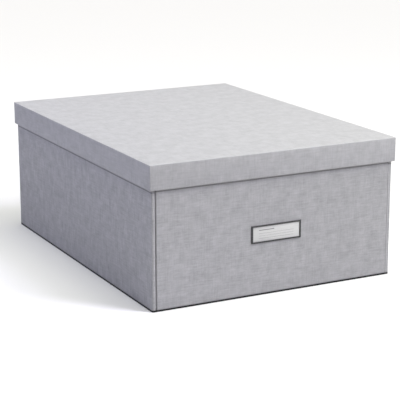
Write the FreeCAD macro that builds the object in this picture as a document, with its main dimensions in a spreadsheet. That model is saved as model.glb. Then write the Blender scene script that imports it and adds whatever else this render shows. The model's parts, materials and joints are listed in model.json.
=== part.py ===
"""Archival storage box: a flat-pack body of laminated fibreboard with a lift-off wrapped lid.

The side walls stand outside four corner flaps, which are folded back from the ends of the
front and back walls and held to the side walls by press snaps. A stamped steel holder on
the front wall carries a card. Millimetres, +Z up, origin under the middle of the box on
the surface it stands on, label towards -Y.
"""

import FreeCAD, Part
import math
import os
import Sketcher
from FreeCAD import Placement, Rotation, Vector

doc = FreeCAD.newDocument("archival_box")

# ---------------------------------------------------------------- driving dimensions
SIZES = [
    ("lid_width", 350.0, "outside width of the lid, left to right"),
    ("lid_depth", 465.0, "outside depth of the lid, front to back"),
    ("total_height", 184.0, "floor to the top of the lid"),
    ("rim_height", 31.5, "height of the lid's rim"),
    ("lid_gap", 0.4, "clearance between the lid's rim and the body, each side"),
    ("cover", 0.35, "canvas-grained paper on the outside"),
    ("liner", 0.2, "paper on the inside"),
    ("wall_board", 3.8, "fibreboard of the walls, base and flaps"),
    ("lid_board", 2.0, "fibreboard of the lid"),
    ("turn_in", 15.0, "cover paper folded down inside the walls"),
    ("lid_turn_in", 12.0, "cover paper folded up inside the rim"),
    ("corner_round", 2.2, "outside radius of the body's upright corners"),
    ("foot_round", 1.8, "outside radius of the body's bottom edges"),
    ("foot_band", 2.2, "height of the dark base paper up the walls"),
    ("lid_round", 1.0, "outside radius of the lid's edges"),
    ("crease_gap", 0.3, "gap between the base board and the walls"),
    ("flap_gap", 1.3, "gap that the snaps keep between a side wall and a flap"),
    ("fold_round", 1.5, "outside radius of the folded ends of the front and back"),
    ("fold_spare", 20.0, "degrees that a flap can still fold inwards"),
    ("fold_clear", 1.0, "paper kept back from the edges of the V groove"),
    ("flap_width", 40.0, "length of a flap, from the front or back face"),
    ("flap_floor_clear", 3.0, "flap above the inside floor"),
    ("flap_top_clear", 8.0, "flap below the top of the wall"),
    ("flap_bevel", 8.0, "cut-off corner of a flap's free end"),
    ("snap_inset", 25.0, "snap centre from the front or back face"),
    ("snap_edge", 32.0, "snap centre from the flap's upper or lower edge"),
    ("snap_sheet", 0.4, "sheet of the stud and post flanges"),
    ("stud_flange", 4.5, "radius of the stud flange and of the post flange"),
    ("post_radius", 1.5, "radius of the rivet posts"),
    ("stud_ball", 0.5, "radius of the stud's ball beyond its post's"),
    ("stud_reach", 2.1, "ball beyond the stud flange"),
    ("ball_bulge", 0.25, "radius of the ball beyond its neck's"),
    ("ball_round", 0.5, "rounding of the ball's tip"),
    ("rivet_clear", 0.05, "play round a post inside its stud"),
    ("post_reach", 1.2, "post inside the stud, beyond the wall"),
    ("socket_sheet", 0.5, "thickness of the socket flange"),
    ("socket_flange", 5.0, "radius of the socket flange"),
    ("socket_barrel", 0.65, "outside radius of the socket barrel beyond its mouth's"),
    ("socket_depth", 2.2, "barrel into the flap"),
    ("socket_play", 0.35, "play round the ball in the socket's mouth"),
    ("cap_radius", 6.0, "radius of the snap cap inside the box"),
    ("cap_height", 1.4, "height of the snap cap"),
    ("cap_round", 1.1, "rounding of the snap cap's rim"),
    ("drill_clear", 0.1, "hole radius over the piece that passes through"),
    ("label_width", 71.0, "width of the label holder"),
    ("label_tall", 23.0, "height of the label holder"),
    ("label_centre", 79.8, "centre of the label holder above the floor"),
    ("label_lip", 2.2, "lip of the holder round its window"),
    ("label_sheet", 0.5, "sheet steel of the holder"),
    ("card_board", 0.4, "thickness of the label card"),
    ("card_gap", 0.2, "play of the card in the holder"),
    ("prong_wide", 4.0, "width of a clinched prong"),
    ("prong_offset", 6.0, "prong centre above or below the label's centre"),
    ("prong_clinch", 5.0, "length of the bent end of a prong"),
    ("slit_clear", 0.15, "play round a prong in its slit"),
    ("tape", 0.15, "thickness of the lid's corner tape"),
    ("tape_leg", 14.0, "leg of the lid's corner tape"),
]

sheet = doc.addObject("Spreadsheet::Sheet", "sizes")
for row, (alias, number, note) in enumerate(SIZES, start=1):
    sheet.set(f"A{row}", alias)
    sheet.set(f"B{row}", str(number))
    sheet.set(f"C{row}", note)
    sheet.setAlias(f"B{row}", alias)
doc.recompute()

# Places that several pieces share. x and y are half sizes, positive to the right and back.
BODY_X = "(sizes.lid_width / 2 - sizes.lid_board - 2 * sizes.cover - sizes.lid_gap)"
BODY_Y = "(sizes.lid_depth / 2 - sizes.lid_board - 2 * sizes.cover - sizes.lid_gap)"
WALL_TOP = "(sizes.total_height - sizes.cover - sizes.lid_board - sizes.liner)"
BOARD_TOP = f"({WALL_TOP} - sizes.cover)"
TURN_IN_Z = f"({WALL_TOP} - sizes.turn_in)"
BOARD_X_OUT = f"({BODY_X} - sizes.cover)"
BOARD_X_IN = f"({BOARD_X_OUT} - sizes.wall_board)"
BOARD_Y_OUT = f"({BODY_Y} - sizes.cover)"
BOARD_Y_IN = f"({BOARD_Y_OUT} - sizes.wall_board)"
FLOOR_Z = "(sizes.cover + sizes.wall_board + sizes.liner)"
# The flaps fold about an upright line inside the rounded end of the front or back wall.
FLAP_X = f"({BOARD_X_IN} - sizes.cover - sizes.flap_gap)"
HINGE_X = f"({FLAP_X} - sizes.fold_round)"
HINGE_Y = f"({BODY_Y} - sizes.fold_round)"
FOLD_RUN = ("((sizes.cover + sizes.wall_board - sizes.fold_round)"
            " / tan(45 - sizes.fold_spare / 2))")
FLAP_X_BOARD = f"({FLAP_X} - sizes.cover)"
FLAP_X_IN = f"({FLAP_X_BOARD} - sizes.wall_board)"
FLAP_END = f"({BODY_Y} - sizes.flap_width)"
FLAP_LOW = f"({FLOOR_Z} + sizes.flap_floor_clear + sizes.cover)"
FLAP_HIGH = f"({WALL_TOP} - sizes.flap_top_clear - sizes.cover)"
SNAP_Y = f"({BODY_Y} - sizes.snap_inset)"
SNAP_HEIGHTS = (f"({FLAP_LOW} + sizes.snap_edge)", f"({FLAP_HIGH} - sizes.snap_edge)")
# Each radius of a snap is the radius inside it plus its own allowance.
BALL_RADIUS = "(sizes.post_radius + sizes.stud_ball)"
MOUTH_RADIUS = f"({BALL_RADIUS} + sizes.socket_play)"
BARREL_RADIUS = f"({MOUTH_RADIUS} + sizes.socket_barrel)"
LABEL_FACE = f"({BODY_Y} + sizes.card_board + 2 * sizes.card_gap)"
LABEL_HALF = "(sizes.label_width / 2)"
LABEL_LOW = "(sizes.label_centre - sizes.label_tall / 2)"
LABEL_HIGH = "(sizes.label_centre + sizes.label_tall / 2)"
RIM_LOW = "(sizes.total_height - sizes.rim_height)"
PANEL_LOW = "(sizes.total_height - sizes.cover - sizes.lid_board)"
LID_X = "(sizes.lid_width / 2)"
LID_Y = "(sizes.lid_depth / 2)"
OVERCUT = "5"  # how far a cutting block runs past what it cuts


def value(expression):
    """The number that an expression on the sheet gives."""
    return float(sheet.evalExpression(expression))


def bind(thing, prop, expression):
    """Ties a property to the sheet."""
    thing.setExpression(prop, expression)


# ---------------------------------------------------------------- building blocks
def block(label, x, y, z):
    """A box between the low and high expressions of each axis."""
    solid = doc.addObject("Part::Box", label)
    for (low, high), side, axis in zip((x, y, z), ("Length", "Width", "Height"), "xyz"):
        bind(solid, side, f"({high}) - ({low})")
        bind(solid, f"Placement.Base.{axis}", low)
    return solid


def plane_of(body, role):
    return next(f for f in body.Origin.OriginFeatures if f.Role == role)


def outline(body, label, points):
    """A closed sketch of straight lines, each corner tied to the sheet."""
    sketch = body.newObject("Sketcher::SketchObject", label)
    sketch.AttachmentSupport = (plane_of(body, "XY_Plane"), [""])
    sketch.MapMode = "FlatFace"
    corners = [Vector(value(x), value(y), 0) for x, y in points]
    count = len(corners)
    for i in range(count):
        sketch.addGeometry(Part.LineSegment(corners[i], corners[(i + 1) % count]))
    for i in range(count):
        sketch.addConstraint(Sketcher.Constraint("Coincident", i, 2, (i + 1) % count, 1))
    for i, corner in enumerate(corners):
        for kind, number, expression in (("DistanceX", corner.x, points[i][0]),
                                         ("DistanceY", corner.y, points[i][1])):
            index = sketch.addConstraint(Sketcher.Constraint(kind, -1, 1, i, 1, number))
            sketch.renameConstraint(index, f"{kind}{i}")
            bind(sketch, f"Constraints.{kind}{i}", expression)
    return sketch


def prism(label, points, z):
    """A plan outline padded from one height to another."""
    body = doc.addObject("PartDesign::Body", label)
    sketch = outline(body, f"{label}_outline", points)
    pad = body.newObject("PartDesign::Pad", f"{label}_pad")
    pad.Profile = sketch
    bind(pad, "Length", f"({z[1]}) - ({z[0]})")
    bind(body, "Placement.Base.z", z[0])
    doc.recompute()
    return body


def turned(label, profile, place):
    """A round piece from (along, radius) points, which grows to the left from place."""
    body = doc.addObject("PartDesign::Body", label)
    sketch = outline(body, f"{label}_profile", profile)
    spin = body.newObject("PartDesign::Revolution", f"{label}_turn")
    spin.Profile = sketch
    spin.ReferenceAxis = (sketch, ["H_Axis"])
    spin.Angle = 360
    body.Placement = Placement(Vector(), Rotation(Vector(0, 0, 1), 180))
    for axis, expression in zip("xyz", place):
        bind(body, f"Placement.Base.{axis}", expression)
    return body


def drill(label, radius, x, y, z):
    """A cylinder along X, for cutting a hole between two x expressions."""
    rod = doc.addObject("Part::Cylinder", label)
    rod.Placement = Placement(Vector(), Rotation(Vector(0, 1, 0), 90))
    bind(rod, "Radius", radius)
    bind(rod, "Height", f"({x[1]}) - ({x[0]})")
    for axis, expression in zip("xyz", (x[0], y, z)):
        bind(rod, f"Placement.Base.{axis}", expression)
    return rod


def blend_edges(body, kind, label, size, wanted):
    """Rounds or bevels the edges of a body's last feature that wanted() picks."""
    doc.recompute()
    last = body.Tip
    names = [f"Edge{i}" for i, edge in enumerate(last.Shape.Edges, start=1) if wanted(edge)]
    feature = body.newObject(f"PartDesign::{kind}", label)
    feature.Base = (last, names)
    bind(feature, "Radius" if kind == "Fillet" else "Size", size)
    doc.recompute()
    return body


def cut(label, base, tool):
    result = doc.addObject("Part::Cut", label)
    result.Base, result.Tool = base, tool
    return result


def common(label, base, tool):
    result = doc.addObject("Part::Common", label)
    result.Base, result.Tool = base, tool
    return result


def fuse(label, pieces):
    result = doc.addObject("Part::MultiFuse", label)
    result.Shapes = pieces
    return result


def group(label, pieces):
    """Identical separate solids under one name."""
    result = doc.addObject("Part::Compound", label)
    result.Links = pieces
    return result


def mirrored(label, source, normal):
    result = doc.addObject("Part::Mirroring", label)
    result.Source = source
    result.Base, result.Normal = Vector(0, 0, 0), normal
    return result


LEFT_RIGHT, FRONT_BACK = Vector(1, 0, 0), Vector(0, 1, 0)


def ring(along, radius):
    """Picks the round edge of a turned piece that has this place and radius."""
    def matches(edge):
        size = edge.BoundBox
        return (abs(size.XMin - value(along)) < 1e-3 and size.XLength < 1e-3
                and abs(size.YLength - 2 * value(radius)) < 1e-3)
    return matches


def upright(edge):
    return abs(edge.tangentAt(edge.FirstParameter).z) > 0.99


def middle(edge):
    return edge.CenterOfMass


def both(expression):
    """The low and high ends of a stretch that is centred on the origin."""
    return (f"-({expression})", expression)


def rectangle(x, y):
    return [(x[0], y[0]), (x[1], y[0]), (x[1], y[1]), (x[0], y[1])]


# ---------------------------------------------------------------- base
def make_base():
    """The base board with its dark outer paper, which turns up round the bottom edges."""
    inner = (both(f"{BOARD_X_IN} - sizes.crease_gap"), both(f"{BOARD_Y_IN} - sizes.crease_gap"))
    board = block("base_board", *inner, ("sizes.cover", "sizes.cover + sizes.wall_board"))

    def tray_block(label, inset, z):
        body = prism(label, rectangle(both(f"{BODY_X} - {inset}"), both(f"{BODY_Y} - {inset}")), z)
        blend_edges(body, "Fillet", f"{label}_corners", f"sizes.corner_round - {inset}", upright)
        return blend_edges(body, "Fillet", f"{label}_foot", f"sizes.foot_round - {inset}",
                           lambda edge: edge.BoundBox.ZMax < 1e-6)

    outside = tray_block("base_outside", "0", ("0", "sizes.foot_band"))
    inside = tray_block("base_inside", "sizes.cover",
                        ("sizes.cover", f"sizes.foot_band + {OVERCUT}"))
    paper = cut("base_cover", outside, inside)
    lining = block("base_liner", both(BOARD_X_IN), both(BOARD_Y_IN),
                   ("sizes.cover + sizes.wall_board", FLOOR_Z))
    return [board, paper, lining]


# ---------------------------------------------------------------- side walls
def make_right_wall():
    """The right wall: board, cover paper turned in all round, and liner."""
    body = prism("right_slab", rectangle((BOARD_X_IN, BOARD_X_OUT), both(BOARD_Y_OUT)),
                 ("sizes.cover", BOARD_TOP))
    outer = value(BOARD_X_OUT) - 1e-6
    blend_edges(body, "Fillet", "right_slab_corners", "sizes.corner_round - sizes.cover",
                lambda edge: upright(edge) and middle(edge).x > outer)
    blend_edges(body, "Fillet", "right_slab_foot", "sizes.foot_round - sizes.cover",
                lambda edge: edge.BoundBox.ZMax < 1e-6 and middle(edge).x > outer - 1)
    posts = []
    for i, z in enumerate(SNAP_HEIGHTS):
        hole = drill(f"post_hole_{i}", "sizes.post_radius + sizes.drill_clear",
                     (f"{BOARD_X_IN} - {OVERCUT}", f"{BOARD_X_OUT} - sizes.snap_sheet"),
                     f"-{SNAP_Y}", z)
        seat = drill(f"post_seat_{i}", "sizes.stud_flange + sizes.drill_clear",
                     (f"{BOARD_X_OUT} - sizes.snap_sheet", f"{BOARD_X_OUT} + sizes.cover"),
                     f"-{SNAP_Y}", z)
        posts += [hole, seat]
    front_holes = group("front_post_holes", posts)
    holes = group("post_holes", [front_holes, mirrored("back_post_holes", front_holes, FRONT_BACK)])
    board = cut("right_board", body, holes)

    wrap = prism("right_wrap", rectangle((f"{BOARD_X_IN} - sizes.cover", BODY_X), both(BODY_Y)),
                 ("sizes.foot_band", WALL_TOP))
    blend_edges(wrap, "Fillet", "right_wrap_corners", "sizes.corner_round",
                lambda edge: upright(edge) and middle(edge).x > outer)
    relief = block("right_relief", (f"{BOARD_X_IN} - {OVERCUT}", BOARD_X_IN), both(BOARD_Y_OUT),
                   ("0", TURN_IN_Z))
    cover = cut("right_cover", cut("right_sheath", wrap, body), relief)

    sheet_in = block("right_lining", (f"{BOARD_X_IN} - sizes.liner", BOARD_X_IN),
                     both(BOARD_Y_OUT), (FLOOR_Z, TURN_IN_Z))
    liner = cut("right_liner", sheet_in, holes)
    return board, cover, liner


def make_right_snaps():
    """Four studs on the right wall's inner face, each held by a post under the cover paper."""
    post_length = "(sizes.wall_board + sizes.liner + sizes.post_reach)"
    tip = "(sizes.snap_sheet + sizes.stud_reach)"
    neck = f"({BALL_RADIUS} - sizes.ball_bulge)"
    neck_end, ball_start = (f"(sizes.snap_sheet + sizes.stud_reach * {share})"
                            for share in (0.3, 0.5))
    bore = "(sizes.post_radius + sizes.rivet_clear)"
    stud_profile = [
        ("0", bore), ("0", "sizes.stud_flange"), ("sizes.snap_sheet", "sizes.stud_flange"),
        ("sizes.snap_sheet", neck), (neck_end, neck), (ball_start, BALL_RADIUS),
        (tip, BALL_RADIUS), (tip, "0"), (f"{tip} - sizes.snap_sheet", "0"),
        (f"{tip} - sizes.snap_sheet", bore),
    ]
    post_profile = [
        ("0", "0"), ("0", "sizes.stud_flange"), ("sizes.snap_sheet", "sizes.stud_flange"),
        ("sizes.snap_sheet", "sizes.post_radius"), (post_length, "sizes.post_radius"),
        (post_length, "0"),
    ]
    studs, posts = [], []
    for i, z in enumerate(SNAP_HEIGHTS):
        stud = turned(f"stud_{i}", stud_profile, (f"{BOARD_X_IN} - sizes.liner", f"-{SNAP_Y}", z))
        studs.append(blend_edges(stud, "Fillet", f"stud_tip_{i}", "sizes.ball_round",
                                 ring(tip, BALL_RADIUS)))
        posts.append(turned(f"post_{i}", post_profile, (BOARD_X_OUT, f"-{SNAP_Y}", z)))
    pairs = []
    for label, pieces in (("right_studs", studs), ("right_stud_posts", posts)):
        front = group(f"{label}_front", pieces)
        pairs.append(group(label, [front, mirrored(f"{label}_back", front, FRONT_BACK)]))
    return pairs


# ---------------------------------------------------------------- front and back walls
def wall_plan():
    """Plan of the front wall's board, its ends mitred back from the fold lines."""
    inner = f"{HINGE_X} - {FOLD_RUN}"
    return [(f"-({HINGE_X})", f"-{BOARD_Y_OUT}"), (HINGE_X, f"-{BOARD_Y_OUT}"),
            (HINGE_X, f"-{HINGE_Y}"), (inner, f"-{BOARD_Y_IN}"),
            (f"-({inner})", f"-{BOARD_Y_IN}"), (f"-({HINGE_X})", f"-{HINGE_Y}")]


def make_plain_wall():
    """Board, cover and liner of the front wall before the label slits are cut."""
    board = prism("wall_slab", wall_plan(), ("sizes.cover", BOARD_TOP))
    front_line = -value(BOARD_Y_OUT)
    blend_edges(board, "Fillet", "wall_slab_foot", "sizes.foot_round - sizes.cover",
                lambda edge: edge.BoundBox.ZMax < 1e-6 and edge.BoundBox.YMax < front_line + 1e-6)

    def folded_block(label, inset):
        deep = f"-({HINGE_Y} - {OVERCUT})"
        body = prism(label, rectangle(both(f"{FLAP_X} - {inset}"), (f"-({BODY_Y} - {inset})", deep)),
                     ("sizes.foot_band", WALL_TOP))
        return blend_edges(body, "Fillet", f"{label}_folds", f"sizes.fold_round - {inset}",
                           lambda edge: upright(edge) and middle(edge).y < front_line + 1)

    shell = cut("wall_shell", folded_block("fold_outside", "0"),
                folded_block("fold_inside", "sizes.cover"))
    keep = block("wall_face", both(BODY_X), (f"-{BODY_Y}", f"-{HINGE_Y}"),
                 ("sizes.foot_band", WALL_TOP))
    face = common("wall_face_paper", shell, keep)
    over = prism("wall_edge_paper", wall_plan(), (BOARD_TOP, WALL_TOP))
    paper_x = both(f"{HINGE_X} - {FOLD_RUN} - sizes.fold_clear")
    inside = block("wall_turn_in", paper_x,
                   (f"-{BOARD_Y_IN}", f"-{BOARD_Y_IN} + sizes.cover"), (TURN_IN_Z, WALL_TOP))
    cover = fuse("wall_cover", [face, over, inside])
    liner = block("wall_liner", paper_x,
                  (f"-{BOARD_Y_IN}", f"-{BOARD_Y_IN} + sizes.liner"), (FLOOR_Z, TURN_IN_Z))
    return {"board": board, "cover": cover, "liner": liner}


def prong_places():
    """(side, height) of the four prongs: left or right, above or below the label's centre."""
    heights = ("(sizes.label_centre - sizes.prong_offset)",
               "(sizes.label_centre + sizes.prong_offset)")
    return [(side, z) for side in ("-", "") for z in heights]


def span(side, near, far):
    """A stretch of x from near to far on the right, or the same mirrored to the left."""
    return (near, far) if side == "" else (f"-({far})", f"-({near})")


def make_slits():
    """The slits that the holder's prongs pass through."""
    slits = []
    for i, (side, z) in enumerate(prong_places()):
        x = span(side, f"{LABEL_HALF} - sizes.label_sheet - sizes.slit_clear",
                 f"{LABEL_HALF} + sizes.slit_clear")
        reach = "(sizes.prong_wide / 2 + sizes.slit_clear)"
        slits.append(block(f"slit_{i}", x, (f"-{BODY_Y} - {OVERCUT}", f"-{BOARD_Y_IN} + {OVERCUT}"),
                           (f"{z} - {reach}", f"{z} + {reach}")))
    return group("label_slits", slits)


# ---------------------------------------------------------------- corner flaps
def make_flap():
    """The front right flap, folded back along the right wall, with its two snap sockets."""
    def flap_body(label, plan, z, bevel, end):
        body = prism(label, plan, z)
        free_end = value(end)
        return blend_edges(body, "Chamfer", f"{label}_bevels", bevel,
                           lambda edge: not upright(edge) and edge.BoundBox.YLength < 1e-6
                           and abs(middle(edge).y - free_end) < 1e-6)

    end, wrapped_end = f"-{FLAP_END}", f"(-{FLAP_END} + sizes.cover)"
    mitre = f"-{HINGE_Y} + {FOLD_RUN}"
    # a bevel keeps the paper's thickness over a sloping edge when its block grows both ways
    wrapped_bevel = f"sizes.flap_bevel + sizes.cover * {2 - math.sqrt(2)}"
    wrapped_z = (f"{FLAP_LOW} - sizes.cover", f"{FLAP_HIGH} + sizes.cover")
    core = flap_body("flap_slab", [
        (FLAP_X_BOARD, f"-{HINGE_Y}"), (FLAP_X_BOARD, end), (FLAP_X_IN, end),
        (FLAP_X_IN, mitre), (HINGE_X, f"-{HINGE_Y}")],
        (FLAP_LOW, FLAP_HIGH), "sizes.flap_bevel", end)
    wrap = flap_body("flap_wrap", [
        (FLAP_X, f"-{HINGE_Y}"), (FLAP_X, wrapped_end), (FLAP_X_IN, wrapped_end),
        (FLAP_X_IN, mitre), (HINGE_X, f"-{HINGE_Y}")],
        wrapped_z, wrapped_bevel, wrapped_end)
    lining = flap_body("flap_lining", rectangle(
        (f"{FLAP_X_IN} - sizes.liner", FLAP_X_IN), (f"{mitre} + sizes.fold_clear", wrapped_end)),
        wrapped_z, wrapped_bevel, wrapped_end)

    barrel_end = f"{FLAP_X} - sizes.socket_depth"
    bores, sockets, caps = [], [], []
    bulge = f"({MOUTH_RADIUS} + sizes.ball_bulge)"
    socket_floor, lip = "sizes.socket_depth - sizes.snap_sheet", "sizes.snap_sheet / 2"
    socket_profile = [
        ("-sizes.socket_sheet", MOUTH_RADIUS), ("-sizes.socket_sheet", "sizes.socket_flange"),
        ("0", "sizes.socket_flange"), ("0", BARREL_RADIUS), ("sizes.socket_depth", BARREL_RADIUS),
        ("sizes.socket_depth", "0"), (socket_floor, "0"), (socket_floor, bulge), (lip, bulge),
        (lip, MOUTH_RADIUS),
    ]
    cap_post = "-(sizes.cover + sizes.wall_board + sizes.liner - sizes.socket_depth)"
    cap_profile = [
        (cap_post, "0"), (cap_post, "sizes.post_radius"), ("0", "sizes.post_radius"),
        ("0", "sizes.cap_radius"), ("sizes.cap_height", "sizes.cap_radius"),
        ("sizes.cap_height", "0"),
    ]
    for i, z in enumerate(SNAP_HEIGHTS):
        wide = drill(f"barrel_bore_{i}", f"{BARREL_RADIUS} + sizes.drill_clear",
                     (barrel_end, f"{FLAP_X} + {OVERCUT}"), f"-{SNAP_Y}", z)
        narrow = drill(f"cap_bore_{i}", "sizes.post_radius + sizes.drill_clear",
                       (f"{FLAP_X_IN} - {OVERCUT}", barrel_end), f"-{SNAP_Y}", z)
        bores += [wide, narrow]
        sockets.append(turned(f"socket_{i}", socket_profile, (FLAP_X, f"-{SNAP_Y}", z)))
        cap = turned(f"cap_{i}", cap_profile, (f"{FLAP_X_IN} - sizes.liner", f"-{SNAP_Y}", z))
        caps.append(blend_edges(cap, "Fillet", f"cap_rim_{i}", "sizes.cap_round",
                                ring("sizes.cap_height", "sizes.cap_radius")))
    bores = group("flap_bores", bores)
    return {
        "board": cut("flap_board", core, bores),
        "cover": cut("flap_cover", cut("flap_sheath", wrap, core), bores),
        "liner": cut("flap_liner", lining, bores),
        "sockets": group("flap_sockets", sockets),
        "caps": group("flap_caps", caps),
    }


# ---------------------------------------------------------------- label holder
def make_label():
    """A stamped steel holder, open at the top, clinched through the front wall; and its card."""
    face_y = (f"-({LABEL_FACE} + sizes.label_sheet)", f"-{LABEL_FACE}")
    pocket_y = (f"-{LABEL_FACE}", f"-{BODY_Y}")
    plate = prism("label_plate", rectangle(both(LABEL_HALF), face_y), (LABEL_LOW, LABEL_HIGH))
    blend_edges(plate, "Fillet", "label_plate_corners", "sizes.label_sheet",
                lambda edge: edge.BoundBox.XLength < 1e-6 and edge.BoundBox.ZLength < 1e-6)
    window = block("label_window", both(f"{LABEL_HALF} - sizes.label_lip"),
                   (f"{face_y[0]} - {OVERCUT}", f"{face_y[1]} + {OVERCUT}"),
                   (f"{LABEL_LOW} + sizes.label_lip", f"{LABEL_HIGH} - sizes.label_lip"))
    pieces = [cut("label_bezel", plate, window)]
    side_x = (f"{LABEL_HALF} - sizes.label_sheet", LABEL_HALF)
    # the folded sides and sill stop short of each other, as a stamping's corner notches leave them
    side_z = (f"{LABEL_LOW} + 2 * sizes.label_sheet", f"{LABEL_HIGH} - sizes.label_sheet")
    for name, side in (("left", "-"), ("right", "")):
        pieces.append(block(f"label_{name}_side", span(side, *side_x), pocket_y, side_z))
    pieces.append(block("label_sill", both(f"{LABEL_HALF} - 2 * sizes.label_sheet"), pocket_y,
                        (LABEL_LOW, f"{LABEL_LOW} + sizes.label_sheet")))
    inner_face = f"-{BOARD_Y_IN} + sizes.liner"
    for i, (side, z) in enumerate(prong_places()):
        prong_z = (f"{z} - sizes.prong_wide / 2", f"{z} + sizes.prong_wide / 2")
        pieces.append(block(f"prong_{i}", span(side, *side_x),
                            (f"-{BODY_Y}", f"{inner_face} + sizes.label_sheet"), prong_z))
        clinch = (side_x[0], f"{side_x[0]} + sizes.prong_clinch")
        pieces.append(block(f"clinch_{i}", span(side, *clinch),
                            (inner_face, f"{inner_face} + sizes.label_sheet"), prong_z))
    frame = fuse("label_frame", pieces)
    card_y = (f"-{BODY_Y} - sizes.card_gap - sizes.card_board", f"-{BODY_Y} - sizes.card_gap")
    card = block("label_card", both(f"{LABEL_HALF} - sizes.label_sheet - sizes.card_gap"), card_y,
                 (f"{LABEL_LOW} + sizes.label_sheet", f"{LABEL_HIGH} - sizes.label_sheet"))
    return [frame, card]


# ---------------------------------------------------------------- lid
def lid_block(label, inset, low, high, rounding):
    """The lid's outside less an inset, with rounded upright and top edges."""
    body = prism(label, rectangle(both(f"{LID_X} - {inset}"), both(f"{LID_Y} - {inset}")),
                 (low, high))
    if rounding:
        top = value(f"({high}) - ({low})") - 1e-6
        blend_edges(body, "Fillet", f"{label}_edges", rounding,
                    lambda edge: upright(edge) or edge.BoundBox.ZMin > top)
    return body


def make_lid():
    """Panel and four rim boards, taped at the corners, wrapped outside and lined inside."""
    board_x, board_y = f"({LID_X} - sizes.cover)", f"({LID_Y} - sizes.cover)"
    rim_in_x, rim_in_y = f"({board_x} - sizes.lid_board)", f"({board_y} - sizes.lid_board)"
    boards_low, boards_high = f"{RIM_LOW} + sizes.cover", "sizes.total_height - sizes.cover"
    outside = lid_block("lid_outside", "0", RIM_LOW, "sizes.total_height", "sizes.lid_round")
    boards = lid_block("lid_boards", "sizes.cover", boards_low, boards_high,
                       "sizes.lid_round - sizes.cover")

    # corner tape: a skin of the boards' block, kept at the four corners only
    core = lid_block("lid_core", "(sizes.cover + sizes.tape)", boards_low,
                     f"{boards_high} + {OVERCUT}", "sizes.lid_round - sizes.cover - sizes.tape")
    skin = cut("tape_skin", boards, core)
    posts = []
    for name, side in (("left", "-"), ("right", "")):
        x = span(side, f"{board_x} - sizes.tape_leg", board_x)
        for where, y in (("front", (f"-({board_y})", f"-({board_y} - sizes.tape_leg)")),
                         ("back", (f"{board_y} - sizes.tape_leg", board_y))):
            posts.append(block(f"tape_post_{where}_{name}", x, y, (boards_low, PANEL_LOW)))
    tapes = common("lid_corner_tapes", skin, group("tape_posts", posts))
    untaped = cut("lid_untaped", boards, tapes)

    panel = common("lid_panel", untaped, block("panel_slab", both(LID_X), both(LID_Y),
                                               (PANEL_LOW, boards_high)))
    rims = []
    for name, x, y in (("front", both(board_x), (f"-({board_y})", f"-({rim_in_y})")),
                       ("back", both(board_x), (rim_in_y, board_y)),
                       ("left", (f"-({board_x})", f"-({rim_in_x})"), both(rim_in_y)),
                       ("right", (rim_in_x, board_x), both(rim_in_y))):
        slab = block(f"{name}_rim_slab", x, y, (boards_low, PANEL_LOW))
        rims.append(common(f"lid_{name}_rim", untaped, slab))

    throat = block("lid_throat", both(f"{rim_in_x} - sizes.cover"), both(f"{rim_in_y} - sizes.cover"),
                   (f"{RIM_LOW} - {OVERCUT}", f"{boards_low} + {OVERCUT}"))
    turned_up = cut("lid_turn_in", block("turn_in_outside", both(rim_in_x), both(rim_in_y),
                                         (RIM_LOW, f"{RIM_LOW} + sizes.lid_turn_in")),
                    block("turn_in_inside", both(f"{rim_in_x} - sizes.cover"),
                          both(f"{rim_in_y} - sizes.cover"), (f"{RIM_LOW} - {OVERCUT}", PANEL_LOW)))
    wrap = cut("lid_wrap", cut("lid_skin", outside, boards), throat)
    cover = fuse("lid_cover", [wrap, turned_up])

    liner_low = f"{RIM_LOW} + sizes.lid_turn_in"
    liner = cut("lid_liner", block("lid_lining", both(rim_in_x), both(rim_in_y),
                                   (liner_low, PANEL_LOW)),
                block("lid_hollow", both(f"{rim_in_x} - sizes.liner"),
                      both(f"{rim_in_y} - sizes.liner"),
                      (f"{liner_low} - {OVERCUT}", f"{PANEL_LOW} - sizes.liner")))
    return [panel, *rims, cover, liner, tapes]


# ---------------------------------------------------------------- the assembly
def build():
    """Every piece of the box, by node name."""
    nodes = {piece.Label: piece for piece in make_base() + make_label() + make_lid()}

    right = list(make_right_wall()) + make_right_snaps()
    for piece in right:
        nodes[piece.Label] = piece
        name = piece.Label.replace("right", "left")
        nodes[name] = mirrored(name, piece, LEFT_RIGHT)

    slits = make_slits()
    for layer, piece in make_plain_wall().items():
        nodes[f"front_{layer}"] = cut(f"front_{layer}", piece, slits)
        nodes[f"back_{layer}"] = mirrored(f"back_{layer}", piece, FRONT_BACK)

    for layer, piece in make_flap().items():
        piece.Label = f"front_right_flap_{layer}"
        nodes[piece.Label] = piece
        for corner, source, normal in (("front_left", "front_right", LEFT_RIGHT),
                                       ("back_right", "front_right", FRONT_BACK),
                                       ("back_left", "front_left", FRONT_BACK)):
            name = f"{corner}_flap_{layer}"
            nodes[name] = mirrored(name, nodes[f"{source}_flap_{layer}"], normal)
    return nodes


def check(nodes):
    """Stops the build if any object failed or any piece isn't a sound solid."""
    doc.recompute()
    failed = [thing.Label for thing in doc.Objects
              if "Invalid" in thing.State or "Error" in thing.State]
    if failed:
        raise RuntimeError(f"these objects failed: {failed}")
    for name, piece in nodes.items():
        shape = piece.Shape
        if shape.isNull() or not shape.isValid() or not shape.Solids:
            raise RuntimeError(f"{name} isn't a sound solid")


def write(nodes):
    os.makedirs("parts", exist_ok=True)
    for name, piece in sorted(nodes.items()):
        piece.Shape.exportStep(f"parts/{name}.step")
    print(f"{len(nodes)} pieces written")


pieces = build()
check(pieces)
write(pieces)
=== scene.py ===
import json
import math

import bmesh
import bpy
from mathutils import Euler, Matrix, Vector


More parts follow.
